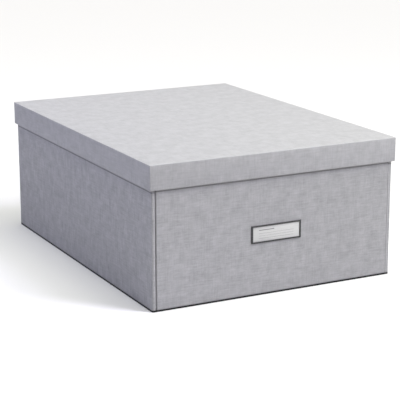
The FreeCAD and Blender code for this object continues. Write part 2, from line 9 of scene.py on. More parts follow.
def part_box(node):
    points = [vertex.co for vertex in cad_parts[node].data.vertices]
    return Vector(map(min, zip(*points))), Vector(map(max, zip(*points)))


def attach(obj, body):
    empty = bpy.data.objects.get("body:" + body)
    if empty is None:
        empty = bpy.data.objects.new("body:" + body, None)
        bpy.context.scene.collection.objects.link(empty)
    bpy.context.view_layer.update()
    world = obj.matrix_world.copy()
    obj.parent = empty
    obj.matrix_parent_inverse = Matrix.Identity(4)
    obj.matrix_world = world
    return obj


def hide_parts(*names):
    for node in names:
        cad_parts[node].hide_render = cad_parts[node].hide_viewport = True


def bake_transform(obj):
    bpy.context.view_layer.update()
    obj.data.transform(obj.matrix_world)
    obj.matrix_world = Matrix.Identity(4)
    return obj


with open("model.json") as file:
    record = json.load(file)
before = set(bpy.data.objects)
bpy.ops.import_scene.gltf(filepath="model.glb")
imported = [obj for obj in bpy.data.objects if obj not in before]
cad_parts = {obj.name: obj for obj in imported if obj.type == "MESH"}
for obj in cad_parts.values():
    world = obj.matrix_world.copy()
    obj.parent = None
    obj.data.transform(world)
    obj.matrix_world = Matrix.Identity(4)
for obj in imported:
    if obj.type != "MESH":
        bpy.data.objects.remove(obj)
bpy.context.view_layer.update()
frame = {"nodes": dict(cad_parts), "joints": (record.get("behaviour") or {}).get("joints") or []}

mm = 0.001
corners = ("front_left", "front_right", "back_left", "back_right")
joints = {joint["name"]: joint for joint in frame["joints"]}
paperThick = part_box("left_board")[0].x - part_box("left_cover")[0].x
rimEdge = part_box("lid_cover")[0].z

camera = {"place": (-0.8616, -1.6996, 0.5591), "turn": 27.17, "tilt": 14.44, "roll": -0.1, "lens": 127.1,
          "sensor": 36.0, "farthest": 100.0}
studio = {"floorSize": 24.0, "floorShade": (0.83, 0.83, 0.84), "bounceShade": (0.60, 0.60, 0.60),
          "bounceDrop": 0.02 * mm, "backdrop": (1.0, 1.0, 1.0)}
# each lamp: its kind, where it stands or comes from, its power, its spread in degrees or width, its tint
lamps = {"softTop": ("SUN", (0, 0, 1), 2.39, 50, (1.0, 1.0, 0.87)),
         "highSun": ("SUN", (0.406, -0.462, 0.788), 1.15, 14, (0.875, 0.847, 1.0)),
         "lowSun": ("SUN", (0.60, -0.66, 0.45), 1.10, 14, (0.875, 0.847, 1.0)),
         "keyLamp": ("AREA", (0.65, -0.74, 1.26), 8.1, 0.28, (0.963, 1.0, 0.864)),
         "leftFill": ("AREA", (-1.3, 0.2, 1.0), 6.93, 0.6, (0.631, 0.652, 1.0))}
lampAim = Vector((0, 0, 0.1))


class Wire:
    # a shader socket that works in sums: wire * 2, 1 - wire, and so on
    def __init__(self, tree, socket=None):
        self.tree = tree
        self.socket = socket

    # any node: what it is, its settings, what its sockets get, and which output to carry on from
    def node(self, kind, settings=None, inputs=None, output=0):
        made = self.tree.nodes.new(kind)
        for name, setting in (settings or {}).items():
            setattr(made, name, setting)
        for name, given in (inputs or {}).items():
            if isinstance(given, Wire):
                self.tree.links.new(given.socket, made.inputs[name])
            else:
                made.inputs[name].default_value = given
        return Wire(self.tree, made.outputs[output])

    def maths(self, operation, first, second=0.0):
        return self.node("ShaderNodeMath", {"operation": operation}, {0: first, 1: second})

    def __add__(self, other):
        return self.maths("ADD", self, other)

    def __radd__(self, other):
        return self.maths("ADD", other, self)

    def __sub__(self, other):
        return self.maths("SUBTRACT", self, other)

    def __rsub__(self, other):
        return self.maths("SUBTRACT", other, self)

    def __mul__(self, other):
        return self.maths("MULTIPLY", self, other)

    def __rmul__(self, other):
        return self.maths("MULTIPLY", other, self)

    def __abs__(self):
        return self.maths("ABSOLUTE", self)


def smaller(first, second):
    return first.maths("MINIMUM", first, second)


def larger(first, second):
    return first.maths("MAXIMUM", first, second)


def clamp(wire):
    return wire.node("ShaderNodeClamp", {}, {"Value": wire})


def objectPlace(start):
    return start.node("ShaderNodeTexCoord", output="Object")


def split(place):
    # a place's x, y and z
    return [place.node("ShaderNodeSeparateXYZ", {}, {0: place}, axis) for axis in range(3)]


def noise(place, stretch, detail=2.0, roughness=0.5):
    scaled = place.node("ShaderNodeVectorMath", {"operation": "MULTIPLY"}, {0: place, 1: stretch})
    return place.node("ShaderNodeTexNoise", {"noise_dimensions": "3D"},
                      {"Vector": scaled, "Scale": 1.0, "Detail": detail, "Roughness": roughness})


def evenNoise(place, size, detail, roughness=0.5):
    return noise(place, (1 / size,) * 3, detail, roughness)


def mixShades(amount, first, second):
    # sockets 6 and 7 and output 2 are the Mix node's colours
    settings = {"data_type": "RGBA", "clamp_factor": True}
    return amount.node("ShaderNodeMix", settings, {0: amount, 6: first, 7: second}, 2)


def shade(colour, by=1.0):
    return tuple(channel * by for channel in colour) + (1.0,)


viewportShade = (0.6, 0.6, 0.62, 1.0)


def newMaterial(name, uniform):
    # uniform holds what is the same all over: it goes straight on the shader
    material = bpy.data.materials.new(name)
    material.use_nodes = True
    material.diffuse_color = viewportShade
    shader = material.node_tree.nodes["Principled BSDF"]
    for socket, setting in uniform.items():
        shader.inputs[socket].default_value = setting
    return material, shader, Wire(material.node_tree)


def connect(wire, shader, socket):
    wire.tree.links.new(wire.socket, shader.inputs[socket])


def bumpy(height, shader, depth):
    connect(height.node("ShaderNodeBump", {}, {"Height": height, "Distance": depth}), shader, "Normal")


# the shares say how much each pattern counts in the paper's shade
canvas = {"shade": (0.412, 0.410, 0.425), "contrast": 0.2, "depth": 0.10 * mm,
          "uniform": {"Specular IOR Level": 0.12, "Sheen Weight": 0.08, "Sheen Roughness": 0.6},
          "thread": 0.62 * mm, "threadBend": 3.5, "slubWidth": 1.9 * mm, "slubLength": 24 * mm,
          "fineWidth": 0.8 * mm, "fineLength": 9 * mm, "cloud": 15 * mm,
          "fineShare": 0.6, "streakShare": 0.9, "cloudShare": 1.3, "threadShare": 0.15,
          "roughness": 0.8, "roughnessVary": 0.12, "threadBump": 0.8, "streakBump": 1.3,
          # the pale edges are partly wear and partly a painted highlight; the dark lines under the lid's
          # rim and above the foot are painted shade
          "paleEdgeBand": 1.6 * mm, "paleEdgeShade": 1.22, "paintedShadowShade": 0.2,
          "rimShadowBelow": 1.9 * mm, "rimShadowBand": 1.3 * mm, "rimShadowDepth": 0.7,
          "contactShadeHigh": 1.6 * mm, "contactShadeDepth": 0.75}
waveLength = 0.314  # the length of one band of a Wave Texture whose scale is 1


def makeThreads(flat, direction):
    return flat.node("ShaderNodeTexWave",
                     {"wave_type": "BANDS", "bands_direction": direction, "wave_profile": "SIN"},
                     {"Vector": flat, "Scale": waveLength / canvas["thread"],
                      "Distortion": canvas["threadBend"], "Detail": 2.0, "Detail Scale": 1.5}, 1)


def makeCanvas(name, low, high, contrast=1.0, upright=1.0, lighter=1.0, rimShadowAt=None):
    # woven-look paper: crossing threads, thicker slubs both ways, slow clouds, and paler edges, partly
    # wear and partly a painted highlight; on the walls also a painted shadow under the lid's rim and
    # painted contact shade just above the foot
    material, shader, start = newMaterial(name, canvas["uniform"])
    flat = start.node("ShaderNodeUVMap", {"uv_map": "sheet"})
    wide, long = 1 / canvas["slubWidth"], 1 / canvas["slubLength"]
    fine, short = 1 / canvas["fineWidth"], 1 / canvas["fineLength"]
    fineShare = canvas["fineShare"]
    across = noise(flat, (long, wide, 1.0), 3.0, 0.6) + noise(flat, (short, fine, 1.0)) * fineShare
    upDown = noise(flat, (wide, long, 1.0), 3.0, 0.6) + noise(flat, (fine, short, 1.0)) * fineShare
    middle = 0.5 + 0.5 * fineShare
    streaks = (across - middle) + (upDown - middle) * upright
    clouds = evenNoise(flat, canvas["cloud"], 5.0, 0.65)
    threads = makeThreads(flat, "X") * 0.5 + makeThreads(flat, "Y") * 0.5
    pattern = (streaks * canvas["streakShare"] + (clouds - 0.5) * canvas["cloudShare"]
               + (threads - 0.5) * canvas["threadShare"])
    dark, light = (shade(canvas["shade"], lighter * (1 + side * canvas["contrast"])) for side in (-1, 1))
    paper = mixShades(clamp(0.5 + pattern * contrast), dark, light)
    # an edge of the piece is where two of its outer sides are close at once
    place = split(objectPlace(start))
    x, y, z = (smaller(spot - float(low[i]), float(high[i]) - spot) for i, spot in enumerate(place))
    secondNearest = larger(smaller(x, y), smaller(larger(x, y), z))
    # paler edges: partly wear, partly a painted highlight along the edges
    worn = clamp(1.0 - secondNearest * (1 / canvas["paleEdgeBand"])) * (0.35 + across * 0.3)
    paper = mixShades(worn, paper, shade(canvas["shade"], canvas["paleEdgeShade"]))
    if rimShadowAt:
        # painted shade on the walls: a thin dark line of painted shadow just under where the lid's rim
        # sits, which stays when the lid is lifted, and painted contact shade on the lowest part of the
        # walls just above the foot
        rimShadow = clamp(1.0 - abs(place[2] - (rimShadowAt - canvas["rimShadowBelow"])) * (1 / canvas["rimShadowBand"]))
        # painted contact shade: the walls grow darker towards the foot
        contactShade = clamp(1.0 - (place[2] - float(low.z)) * (1 / canvas["contactShadeHigh"]))
        paintedShade = larger(rimShadow * canvas["rimShadowDepth"], contactShade * canvas["contactShadeDepth"]) * (0.8 + clouds * 0.4)
        paper = mixShades(paintedShade, paper, shade(canvas["shade"], canvas["paintedShadowShade"]))
    connect(paper, shader, "Base Color")
    connect(canvas["roughness"] + (clouds - 0.5) * canvas["roughnessVary"], shader, "Roughness")
    height = threads * canvas["threadBump"] + streaks * (canvas["streakBump"] * contrast)
    bumpy(height, shader, canvas["depth"])
    return material


smooth = {"shade": (0.66, 0.66, 0.65), "contrast": 0.05, "fibre": 2.2 * mm, "cloud": 24 * mm,
          "roughness": 0.72, "roughnessVary": 0.2, "depth": 0.02 * mm}
tape = {"shade": (0.42, 0.33, 0.22), "contrast": 0.1}


def makeSmoothPaper(name, finish):
    # inside paper or tape: short fibres and a faint unevenness
    material, shader, start = newMaterial(name, {"Specular IOR Level": 0.3})
    place = objectPlace(start)
    fibres = evenNoise(place, smooth["fibre"], 5.0, 0.7)
    clouds = evenNoise(place, smooth["cloud"], 3.0)
    amount = 0.5 + (fibres - 0.5) * 0.8 + (clouds - 0.5) * 1.4
    dark, light = (shade(finish["shade"], 1 + side * finish["contrast"]) for side in (-1, 1))
    connect(mixShades(clamp(amount), dark, light), shader, "Base Color")
    connect(smooth["roughness"] + (fibres - 0.5) * smooth["roughnessVary"], shader, "Roughness")
    bumpy(fibres, shader, smooth["depth"])
    return material


board = {"shade": (0.36, 0.35, 0.33), "darkest": 0.72, "lightest": 1.25, "fleck": 0.9 * mm,
         "layer": 0.5 * mm, "layerLength": 25 * mm, "roughness": 0.88, "depth": 0.12 * mm}


def makeBoard():
    # solid fibreboard: grey pulp with darker and lighter flecks, and layers that show on a cut edge
    material, shader, start = newMaterial("fibreboard", {"Specular IOR Level": 0.15})
    place = objectPlace(start)
    flecks = evenNoise(place, board["fleck"], 4.0, 0.75)
    layers = noise(place, (1 / board["layer"], 1 / board["layer"], 1 / board["layerLength"]))
    amount = 0.5 + (flecks - 0.5) * 1.8 + (layers - 0.5) * 0.9
    dark, light = shade(board["shade"], board["darkest"]), shade(board["shade"], board["lightest"])
    connect(mixShades(clamp(amount), dark, light), shader, "Base Color")
    connect(board["roughness"] + (flecks - 0.5) * 0.15, shader, "Roughness")
    bumpy(flecks + layers * 0.5, shader, board["depth"])
    return material


# the base paper's near-black shade is partly painted contact shadow along the bottom edge
foot = {"shade": (0.011, 0.011, 0.012), "darkest": 0.7, "lightest": 1.5, "scuffed": 3.2,
        "grain": 0.8 * mm, "scuffsPerMetre": 60.0, "roughness": 0.66, "depth": 0.05 * mm}


def makeFootPaper():
    # the base paper, near black: partly its own colour and partly painted contact shadow along the bottom
    # edge; scuffed a little paler where it rubs
    material, shader, start = newMaterial("dark_base_paper_and_contact_shade", {"Specular IOR Level": 0.15})
    place = objectPlace(start)
    grain = evenNoise(place, foot["grain"], 4.0, 0.65)
    scuffs = noise(place, (foot["scuffsPerMetre"],) * 3, 5.0, 0.7)
    worn = clamp((scuffs - 0.56) * 6.0) * 0.35
    dark, light = shade(foot["shade"], foot["darkest"]), shade(foot["shade"], foot["lightest"])
    base = mixShades(clamp(grain * 1.6 - 0.3), dark, light)
    connect(mixShades(worn, base, shade(foot["shade"], foot["scuffed"])), shader, "Base Color")
    connect(foot["roughness"] + (grain - 0.5) * 0.3, shader, "Roughness")
    bumpy(grain, shader, foot["depth"])
    return material


plated = {"shade": (0.70, 0.69, 0.66), "tarnish": (0.46, 0.45, 0.42), "roughness": 0.28, "metallic": 1.0}
polish = {"patch": 3 * mm, "scratch": 0.25 * mm, "scratchesPerMetre": 60.0, "depth": 0.004 * mm}


def makePlated(name, finish):
    # plated metal: slow tarnish patches and fine polishing lines
    material, shader, start = newMaterial(name, {"Metallic": finish["metallic"]})
    place = objectPlace(start)
    patches = evenNoise(place, polish["patch"], 3.0)
    stretch = (polish["scratchesPerMetre"], 1 / polish["scratch"], 1 / polish["scratch"])
    lines = noise(place, stretch, 3.0, 0.7)
    colours = mixShades(clamp(patches * 1.6 - 0.4), shade(finish["shade"]), shade(finish["tarnish"]))
    connect(colours, shader, "Base Color")
    connect(finish["roughness"] + (lines - 0.5) * 0.2 + (patches - 0.5) * 0.15, shader, "Roughness")
    bumpy(lines, shader, polish["depth"])
    return material


# each rule: its height from the card's middle, its left and right ends, and half its thickness
card = {"shade": (0.655, 0.655, 0.645), "contrast": 0.07, "ink": (0.10, 0.10, 0.11), "inkDepth": 0.75,
        "round": 0.8 * mm, "edge": 0.06 * mm, "sharpest": 60, "roughness": 0.55,
        "fibre": 1.4 * mm, "streaks": (40.0, 40.0, 500.0), "depth": 0.01 * mm,
        "rules": ((5.0 * mm, -25 * mm, -3 * mm, 0.55 * mm), (0.8 * mm, -25 * mm, 25 * mm, 0.16 * mm),
                  (-2.4 * mm, -25 * mm, 25 * mm, 0.16 * mm), (-5.6 * mm, -25 * mm, 25 * mm, 0.16 * mm))}
inkEdge = {"rule": 12000.0, "end": 9000.0}  # how sharply a rule stops, per metre


def makeCardPaper(low, high):
    # white card with a short thick rule at the top and three thin ones to write on
    material, shader, start = newMaterial("card_paper", {"Specular IOR Level": 0.2})
    place = objectPlace(start)
    spot = split(place)
    height = spot[2] - (low.z + high.z) / 2
    printed = None
    for middle, left, right, half in card["rules"]:
        rule = clamp((half - abs(height - middle)) * inkEdge["rule"])
        rule = rule * clamp(((right - left) / 2 - abs(spot[0] - (left + right) / 2)) * inkEdge["end"])
        printed = larger(printed, rule) if printed else rule
    fibres = evenNoise(place, card["fibre"], 5.0, 0.7)
    streaks = noise(place, card["streaks"], 3.0, 0.6)
    dark, light = (shade(card["shade"], 1 + side * card["contrast"]) for side in (-1, 1))
    paper = mixShades(clamp(0.5 + (fibres - 0.5) + (streaks - 0.5) * 1.5), dark, light)
    connect(mixShades(printed * card["inkDepth"], paper, shade(card["ink"])), shader, "Base Color")
    connect(card["roughness"] + (fibres - 0.5) * 0.15, shader, "Roughness")
    bumpy(fibres, shader, card["depth"])
    return material


def pick(*pieces):
    # selects these objects and nothing else, with the first one active
    bpy.ops.object.select_all(action="DESELECT")
    for piece in pieces:
        piece.select_set(True)
    bpy.context.view_layer.objects.active = pieces[0]


def addBox(name, low, high):
    # a block between two corners, its place in its mesh, in edit mode
    bpy.ops.object.select_all(action="DESELECT")
    bpy.ops.mesh.primitive_cube_add(size=1, location=(low + high) / 2, scale=high - low)
    made = bpy.context.object
    made.name = made.data.name = name
    bpy.ops.object.transform_apply(location=True, rotation=True, scale=True)
    bpy.ops.object.mode_set(mode="EDIT")
    return made


def choose(kind, test):
    # in edit mode: selects the faces, edges or points that pass the test, and nothing else
    bpy.ops.mesh.select_mode(type=kind)
    bpy.ops.mesh.select_all(action="DESELECT")
    shape = bmesh.from_edit_mesh(bpy.context.object.data)
    for item in {"FACE": shape.faces, "EDGE": shape.edges, "VERT": shape.verts}[kind]:
        item.select_set(test(item))
    shape.select_flush_mode()
    bmesh.update_edit_mesh(bpy.context.object.data)


closeBy = 0.02 * mm  # points nearer than this count as one place
softSteps = 3  # how many faces go round a soft paper edge


def near(first, second):
    return abs(first - second) < closeBy


def facing(axis, sign):
    return lambda face: face.normal[axis] * sign > 0.9


def ends(edge):
    return [point.co for point in edge.verts]


def onTopEdge(edge, height):
    # an edge between the top and a wall
    return (all(near(point.z, height) for point in ends(edge)) and len(edge.link_faces) == 2
            and any(abs(face.normal.z) < 0.5 for face in edge.link_faces))


def cutAt(place, normal):
    # cuts the whole mesh with a plane and keeps both sides
    bpy.ops.mesh.select_all(action="SELECT")
    bpy.ops.mesh.bisect(plane_co=place, plane_no=normal)


def pullOut(way):
    bpy.ops.mesh.extrude_region_move(TRANSFORM_OT_translate={"value": way})


def roundOff(width, steps):
    bpy.ops.mesh.bevel(offset=width, segments=steps, profile=0.5, affect="EDGES")


def modify(piece, kind, **settings):
    # adds a modifier and applies it
    pick(piece)
    made = piece.modifiers.new(kind.lower(), kind)
    for name, setting in settings.items():
        setattr(made, name, setting)
    bpy.ops.object.modifier_apply(modifier=made.name)


def thicken(piece):
    # leaves edit mode and gives a sheet of paper its thickness, inwards
    bpy.ops.object.mode_set(mode="OBJECT")
    modify(piece, "SOLIDIFY", thickness=paperThick, offset=-1.0, use_even_offset=True, use_rim=True)


def softenEdges(piece, width, steps, sharpest):
    # rounds the edges that turn by more than this many degrees
    limit = math.radians(sharpest)
    modify(piece, "BEVEL", width=width, segments=steps, limit_method="ANGLE", angle_limit=limit)


def unroll(piece):
    # a flat sheet map in metres: each face is laid out along the two axes it faces least
    layer = piece.data.uv_layers.get("sheet") or piece.data.uv_layers.new(name="sheet")
    layer.active = True
    for face in piece.data.polygons:
        main = max(range(3), key=lambda axis: abs(face.normal[axis]))
        over, up = {0: (1, 2), 1: (0, 2), 2: (0, 1)}[main]
        # each facing direction has its own metre of the sheet
        part = 2 * main + (face.normal[main] < 0)
        for loop in face.loop_indices:
            spot = piece.data.vertices[piece.data.loops[loop].vertex_index].co
            layer.data[loop].uv = (spot[over] + part, spot[up])


def finishPiece(piece, material, body, replaced=(), angle=30):
    # smooth shading, flat map, material, the body it rides on, and the CAD parts it replaces hidden
    pick(piece)
    bpy.ops.object.shade_smooth_by_angle(angle=math.radians(angle))
    unroll(piece)
    piece.data.materials.clear()
    piece.data.materials.append(material)
    if body:
        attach(piece, body)
    if replaced:
        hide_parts(*replaced)


def copyPiece(piece, name):
    # a copy with its own mesh
    made = piece.copy()
    made.data = piece.data.copy()
    made.name = made.data.name = name
    bpy.context.collection.objects.link(made)
    return made


def mirror(piece, flipX, flipY):
    piece.data.transform(Matrix.Diagonal((-1 if flipX else 1, -1 if flipY else 1, 1, 1)))
    if flipX != flipY:
        piece.data.flip_normals()


lidWrap = {"round": 1.0 * mm, "steps": 4, "tuck": 16 * mm, "tuckSlope": 2 * mm, "tuckStep": 0.15 * mm,
           "contrast": 0.8, "lighter": 1.06}


def makeLidWrap():
    low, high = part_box("lid_cover")
    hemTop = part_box("lid_liner")[0].z
    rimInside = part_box("lid_right_rim")[0].x - paperThick

    def onCorner(point):
        return near(abs(point.x), high.x) and near(abs(point.y), high.y)

    def onSide(point):
        return near(abs(point.x), high.x) or near(abs(point.y), high.y)

    def outline(edge):
        first, last = ends(edge)
        level = near(first.z, last.z) and onSide(first) and onSide(last)
        return level or (onCorner(first) and onCorner(last))

    piece = addBox("lid_wrap", low, high)
    # the rim's underside, then the hem turned up inside it
    choose("FACE", facing(2, -1))
    bpy.ops.mesh.inset(thickness=high.x - rimInside, use_even_offset=True)
    pullOut((0, 0, hemTop - low.z))
    bpy.ops.mesh.delete(type="FACE")
    choose("EDGE", outline)
    roundOff(lidWrap["round"], lidWrap["steps"])
    # over the tucked corners the paper of the two long sides stands slightly proud
    flatTo = high.y - lidWrap["tuck"] - lidWrap["tuckSlope"]
    for side in (-1, 1):
        for cut in (high.y - lidWrap["tuck"], flatTo):
            cutAt((0, side * cut, 0), (0, 1, 0))
    for side in (-1, 1):
        choose("VERT", lambda v: near(v.co.x, side * high.x) and abs(v.co.y) < flatTo + closeBy)
        bpy.ops.transform.translate(value=(-side * lidWrap["tuckStep"], 0, 0))
    thicken(piece)
    paper = makeCanvas("lid_canvas", low, high, lidWrap["contrast"], lighter=lidWrap["lighter"])
    finishPiece(piece, paper, "lid", ["lid_cover"])


# on the side walls the painted shadow under the lid's rim sits a little lower than on the front and back
sideWrap = {"round": 2.2 * mm, "steps": 6, "soft": 0.5 * mm, "return": 12 * mm, "seamGap": 0.2 * mm,
            "seamReach": 0.8 * mm, "rimShadowLower": 1.0 * mm, "contrast": 1.2, "upright": 1.5}


def makeRightWrap():
    # the right wall's paper: outside, over every edge, and turned in at the top and both ends
    low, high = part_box("right_cover")
    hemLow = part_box("right_liner")[1].z
    returned = high.y - sideWrap["return"]

    def hiddenInside(face):
        middle = face.calc_center_median()
        return facing(0, -1)(face) and middle.z < hemLow and abs(middle.y) < returned

    piece = addBox("right_wrap", low, high)
    choose("FACE", facing(2, -1))
    bpy.ops.mesh.delete(type="FACE")
    cutAt((0, 0, hemLow), (0, 0, 1))
    for side in (-1, 1):
        cutAt((0, side * returned, 0), (0, 1, 0))
    choose("FACE", hiddenInside)
    bpy.ops.mesh.delete(type="FACE")
    choose("EDGE", lambda edge: all(near(p.x, high.x) and near(abs(p.y), high.y) for p in ends(edge)))
    roundOff(sideWrap["round"], sideWrap["steps"])
    choose("EDGE", lambda edge: onTopEdge(edge, high.z)
           or all(near(p.x, low.x) and near(abs(p.y), high.y) for p in ends(edge)))
    roundOff(sideWrap["soft"], softSteps)
    thicken(piece)
    return piece


def closeSeam(piece):
    # on the right the wall's ends lie close against the folds, so that the seam hardly shows
    low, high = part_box("right_cover")
    reach = low.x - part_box("front_cover")[1].x - sideWrap["seamGap"]
    band = sideWrap["seamReach"]
    pick(piece)
    bpy.ops.object.mode_set(mode="EDIT")
    choose("VERT", lambda v: v.co.x < low.x + band and abs(v.co.y) > high.y - band)
    bpy.ops.transform.translate(value=(-reach, 0, 0))
    bpy.ops.object.mode_set(mode="OBJECT")


def coverSides():
    right = makeRightWrap()
    left = copyPiece(right, "left_wrap")
    mirror(left, True, False)
    closeSeam(right)
    for piece, side in ((right, "right"), (left, "left")):
        cover = side + "_cover"
        paper = makeCanvas(side + "_canvas", *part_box(cover), sideWrap["contrast"], sideWrap["upright"],
                           rimShadowAt=rimEdge - sideWrap["rimShadowLower"])
        finishPiece(piece, paper, "box", [cover])


frontWrap = {"soft": 0.5 * mm, "mitreLap": 1 * mm, "contrast": 1.1, "upright": 0.7}


def makeFrontWrap():
    # the front wall's paper between its two folds: outside, over the top edge and turned in
    low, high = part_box("front_cover")
    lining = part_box("front_liner")[1]
    foldX, foldY = joints["front_right_fold"]["pos_m"][:2]
    piece = addBox("front_wrap", Vector((-foldX, low.y, low.z)), Vector((foldX, high.y, high.z)))
    choose("FACE", lambda face: facing(2, -1)(face) or abs(face.normal.x) > 0.9)
    bpy.ops.mesh.delete(type="FACE")
    cutAt((0, foldY, 0), (0, 1, 0))
    # the ends of the top edge follow the mitre of the board
    for side in (-1, 1):
        choose("VERT", lambda v: near(v.co.x, side * foldX) and near(v.co.y, high.y))
        bpy.ops.transform.translate(value=(-side * (foldX - lining.x - frontWrap["mitreLap"]), 0, 0))
    cutAt((0, 0, lining.z), (0, 0, 1))
    choose("FACE", lambda face: facing(1, 1)(face) and face.calc_center_median().z < lining.z)
    bpy.ops.mesh.delete(type="FACE")
    choose("EDGE", lambda edge: onTopEdge(edge, high.z))
    roundOff(frontWrap["soft"], softSteps)
    thicken(piece)
    return piece


def coverFrontAndBack():
    # gives back the two papers, which the folds share
    front = makeFrontWrap()
    back = copyPiece(front, "back_wrap")
    mirror(back, False, True)
    papers = {}
    for piece, side in ((front, "front"), (back, "back")):
        cover = side + "_cover"
        papers[side] = makeCanvas(side + "_canvas", *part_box(cover), frontWrap["contrast"],
                                  frontWrap["upright"], rimShadowAt=rimEdge)
        finishPiece(piece, papers[side], "box", [cover])
    return papers


footPaper = {"round": 2.2 * mm, "under": 0.5 * mm, "steps": 5}


def makeFoot():
    # the base paper, turned up round the bottom edges
    low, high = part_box("base_cover")
    piece = addBox("base_paper", low, high)
    choose("FACE", facing(2, 1))
    bpy.ops.mesh.delete(type="FACE")
    choose("EDGE", lambda edge: not near(ends(edge)[0].z, ends(edge)[1].z))
    roundOff(footPaper["round"], footPaper["steps"])
    choose("EDGE", lambda edge: all(near(p.z, low.z) for p in ends(edge)) and len(edge.link_faces) == 2)
    roundOff(footPaper["under"], footPaper["steps"])
    thicken(piece)
    finishPiece(piece, makeFootPaper(), "box", ["base_cover"])


# how round the paper goes at the left and the right folds
fold = {"steps": 8, "left": 1.5 * mm, "right": 0.4 * mm}


def makeFold(radius):
    # the paper round the front right fold, from the wall's face to the flap's face
    low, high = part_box("front_cover")
    foldX, foldY = joints["front_right_fold"]["pos_m"][:2]
    height = high.z - low.z
    straight = high.x - foldX - radius
    middle = (high.x, foldY + height / 2, (low.z + high.z) / 2)
    bpy.ops.object.select_all(action="DESELECT")
    bpy.ops.mesh.primitive_plane_add(size=height, location=middle, rotation=(0, math.radians(90), 0))
    piece = bpy.context.object
    bpy.ops.object.transform_apply(location=True, rotation=True, scale=True)
    bpy.ops.object.mode_set(mode="EDIT")
    # only the plane's near edge is kept, and pulled round the fold
    choose("VERT", lambda v: v.co.y > middle[1])
    bpy.ops.mesh.delete(type="VERT")
    bpy.ops.mesh.select_mode(type="EDGE")
    bpy.ops.mesh.select_all(action="SELECT")
    if straight > paperThick:
        pullOut((0, -straight, 0))
    bpy.ops.mesh.spin(steps=fold["steps"], angle=math.radians(90), axis=(0, 0, 1),
                      center=(high.x - radius, foldY - (high.x - foldX) + radius, 0))
    if straight > paperThick:
        pullOut((-straight, 0, 0))
    bpy.ops.mesh.select_all(action="SELECT")
    bpy.ops.mesh.remove_doubles(threshold=0.001 * mm)
    shape = bmesh.from_edit_mesh(piece.data)
    for face in shape.faces:
        middle = face.calc_center_median()
        if face.normal.dot(middle - Vector((foldX, foldY, middle.z))) < 0:
            face.normal_flip()
    bmesh.update_edit_mesh(piece.data)
    thicken(piece)
    return piece


flap = {"soft": 0.4 * mm, "clipped": 8.2 * mm, "endLap": 1 * mm}


def makeFlapWrap():
    # the front right flap's paper: its outer face, and over its top, bottom and free edges
    low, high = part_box("front_right_flap_cover")
    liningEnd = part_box("front_right_flap_liner")[0].y
    piece = addBox("front_right_flap_wrap", low, high)
    choose("EDGE", lambda edge: all(near(p.y, high.y) for p in ends(edge))
           and near(ends(edge)[0].z, ends(edge)[1].z))
    roundOff(flap["clipped"], 1)
    choose("FACE", lambda face: facing(0, -1)(face) or facing(1, -1)(face))
    bpy.ops.mesh.delete(type="FACE")
    choose("VERT", lambda v: near(v.co.x, low.x) and near(v.co.y, low.y))
    bpy.ops.transform.translate(value=(0, liningEnd - low.y - flap["endLap"], 0))
    choose("EDGE", lambda edge: all(near(p.x, high.x) for p in ends(edge)) and len(edge.link_faces) == 2)
    roundOff(flap["soft"], softSteps)
    thicken(piece)
    return piece


def coverFlaps(papers):
    # each corner's fold and flap are the front right ones, mirrored to their place
    folds = {side: makeFold(fold[side]) for side in ("left", "right")}
    flapWrap = makeFlapWrap()
    for corner in corners:
        end, side = corner.split("_")
        flips = (side == "left", end == "back")
        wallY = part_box("back_cover")[1].y if end == "back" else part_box("front_cover")[0].y
        crease = copyPiece(folds[side], corner + "_crease")
        mirror(crease, *flips)
        finishPiece(crease, papers[end], None)
        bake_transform(crease)
        wrap = flapWrap
        if any(flips):
            wrap = copyPiece(flapWrap, corner + "_flap_wrap")
            mirror(wrap, *flips)
        cover = corner + "_flap_cover"
        paper = makeCanvas(corner + "_canvas", *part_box(cover))
        finishPiece(wrap, paper, corner + "_flap", [cover])
    for model in folds.values():
        bpy.data.objects.remove(model)


# each ring of the dome: how far in from the last one, and how far up
cap = {"radius": 6 * mm, "base": 0.55 * mm, "sides": 48, "edge": 0.1 * mm, "sharpest": 20, "smooth": 50,
       "rings": ((0.55 * mm, 0.42 * mm), (1.4 * mm, 0.26 * mm),
                 (1.6 * mm, 0.10 * mm), (0.9 * mm, -0.12 * mm))}


def makeCaps(nickel):
    # one domed cap, shaped ring by ring, then copied to each snap
    bpy.ops.object.select_all(action="DESELECT")
    bpy.ops.mesh.primitive_cylinder_add(vertices=cap["sides"], radius=cap["radius"], depth=cap["base"],
                                        location=(0, 0, cap["base"] / 2))
    dome = bpy.context.object
    bpy.ops.object.transform_apply(location=True, rotation=True, scale=True)
    bpy.ops.object.mode_set(mode="EDIT")
    choose("FACE", facing(2, 1))
    for inset, lift in cap["rings"]:
        bpy.ops.mesh.inset(thickness=inset, use_even_offset=True)
        bpy.ops.transform.translate(value=(0, 0, lift))
    bpy.ops.object.mode_set(mode="OBJECT")
    softenEdges(dome, cap["edge"], 2, cap["sharpest"])
    for corner in corners:
        # the caps sit on the flap's lining, at the heights of its sockets
        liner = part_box(corner + "_flap_liner")
        low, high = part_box(corner + "_flap_sockets")
        faceX, turn = (liner[1].x, 90) if "left" in corner else (liner[0].x, -90)
        inset = (high.y - low.y) / 2
        pair = []
        for height in (low.z + inset, high.z - inset):
            made = copyPiece(dome, corner + "_snap_caps")
            place = Matrix.Translation(Vector((faceX, (low.y + high.y) / 2, height)))
            made.data.transform(place @ Matrix.Rotation(math.radians(turn), 4, "Y"))
            pair.append(made)
        pick(*pair)
        bpy.ops.object.join()
        finishPiece(pair[0], nickel, corner + "_flap", [corner + "_flap_caps"], cap["smooth"])
    bpy.data.objects.remove(dome)


